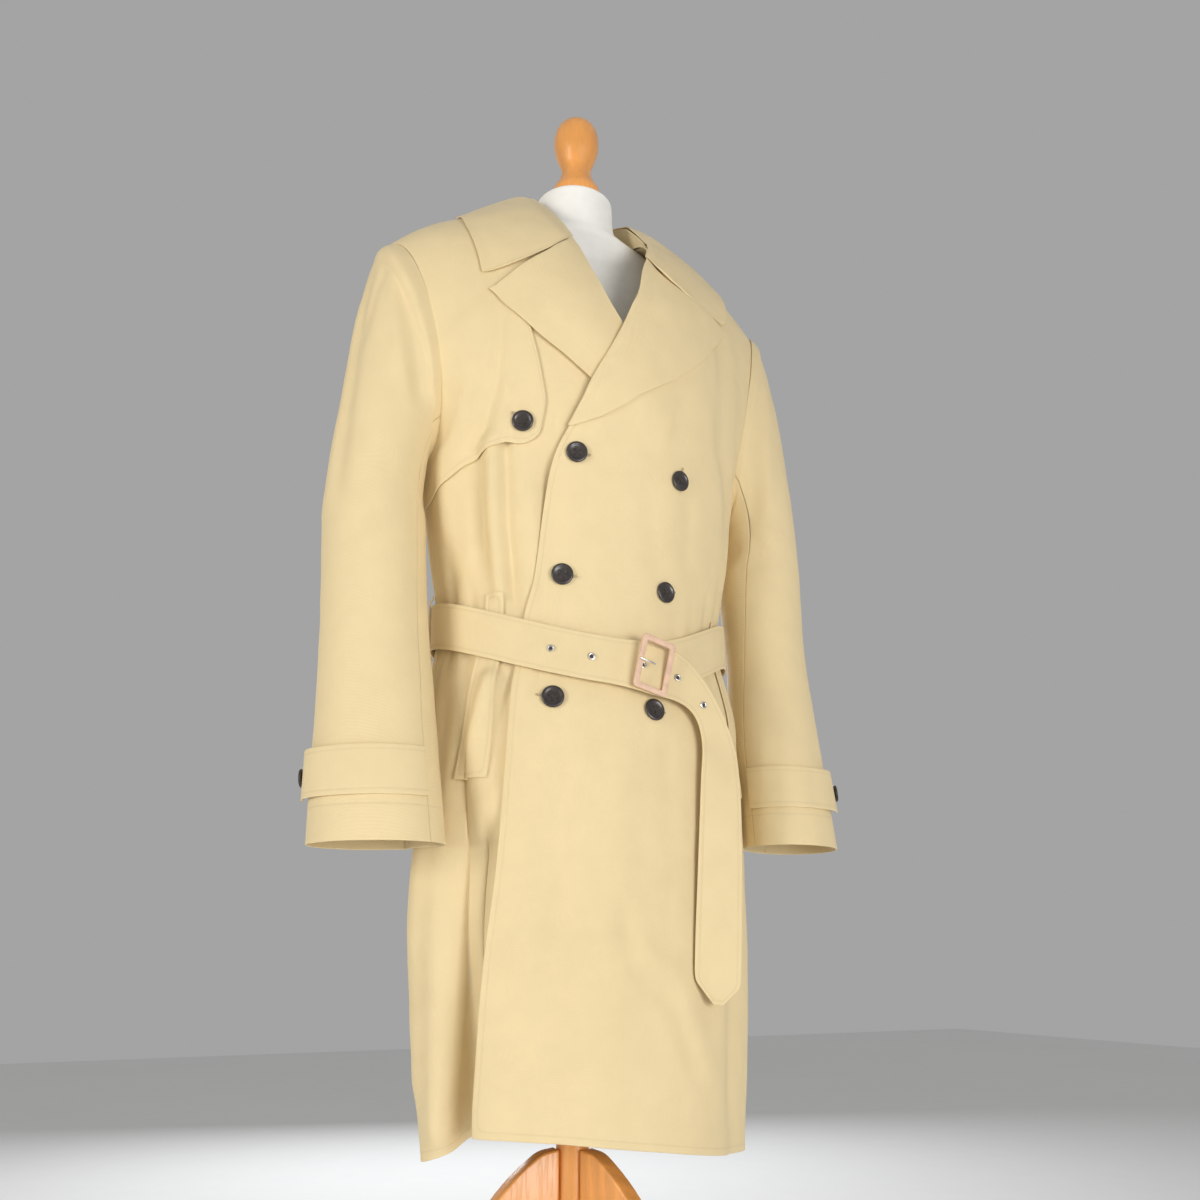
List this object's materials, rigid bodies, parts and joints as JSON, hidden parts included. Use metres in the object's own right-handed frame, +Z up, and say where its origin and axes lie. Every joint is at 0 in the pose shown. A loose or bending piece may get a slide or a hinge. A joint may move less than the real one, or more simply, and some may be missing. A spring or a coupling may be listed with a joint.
{
  "type": "trench coat on a limbless dress form with a wooden tripod stand",
  "caption": "Belted double-breasted trench coat with gun flap, wide lapels and cuff straps, worn by a limbless dress form on a turned wooden stand.",
  "frame": {"origin": "centre of the bounding box on the floor", "axes": "+Z up, the wearer faces -Y, the wearer's left side is towards +X"},
  "size_m": [0.6058, 0.5276, 1.6],
  "materials": {
    "gabardine": "matt twill cotton",
    "horn": "polished dark horn",
    "nickel": "bright",
    "buckle_cover": "smooth",
    "form_cover": "matt stretched jersey",
    "beech": "satin lacquer"
  },
  "bodies": {
    "root": {"back": "gabardine", "belt": "gabardine", "buckle": "buckle_cover", "buckle_prong": "nickel", "button_bottom_left": "horn", "button_bottom_right": "horn", "button_flap": "horn", "button_middle_left": "horn", "button_middle_right": "horn", "button_top_left": "horn", "button_top_right": "horn", "collar": "gabardine", "collar_stand": "gabardine", "dress_form": "form_cover", "eyelet_1": "nickel", "eyelet_2": "nickel", "eyelet_3": "nickel", "eyelet_4": "nickel", "eyelet_5": "nickel", "finial": "beech", "gun_flap": "gabardine", "left_belt_loop": "gabardine", "left_cuff_button": "horn", "left_cuff_strap": "gabardine", "left_front": "gabardine", "left_lapel": "gabardine", "left_pocket_welt": "gabardine", "left_top_sleeve": "gabardine", "left_under_sleeve": "gabardine", "leg_1": "beech", "leg_2": "beech", "leg_3": "beech", "post": "beech", "right_belt_loop": "gabardine", "right_cuff_button": "horn", "right_cuff_strap": "gabardine", "right_front": "gabardine", "right_lapel": "gabardine", "right_pocket_welt": "gabardine", "right_top_sleeve": "gabardine", "right_under_sleeve": "gabardine"}
  },
  "joints": []
}
